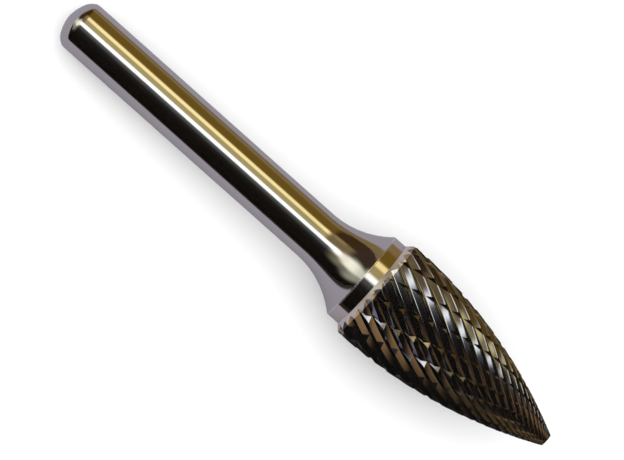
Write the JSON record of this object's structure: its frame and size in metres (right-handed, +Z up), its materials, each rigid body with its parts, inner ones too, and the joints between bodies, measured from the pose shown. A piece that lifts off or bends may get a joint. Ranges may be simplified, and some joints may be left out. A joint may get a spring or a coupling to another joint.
{
  "type": "carbide burr",
  "caption": "Pointed tree-shaped rotary burr: double-cut carbide head brazed to a flared round steel shank, for die grinders.",
  "frame": {"origin": "on the floor under the middle of the burr's bounding box", "axes": "+X from the shank end towards the tip, +Z up; the burr lies on its side, so its axis rises about 4.4 degrees towards the tip"},
  "size_m": [0.0699, 0.0126, 0.0128],
  "materials": {
    "steel_shank": "polished",
    "braze_joint": "polished",
    "carbide_head": "ground"
  },
  "bodies": {
    "root": {"steel_shank": "steel_shank", "braze_joint": "braze_joint", "carbide_head": "carbide_head"}
  },
  "joints": []
}
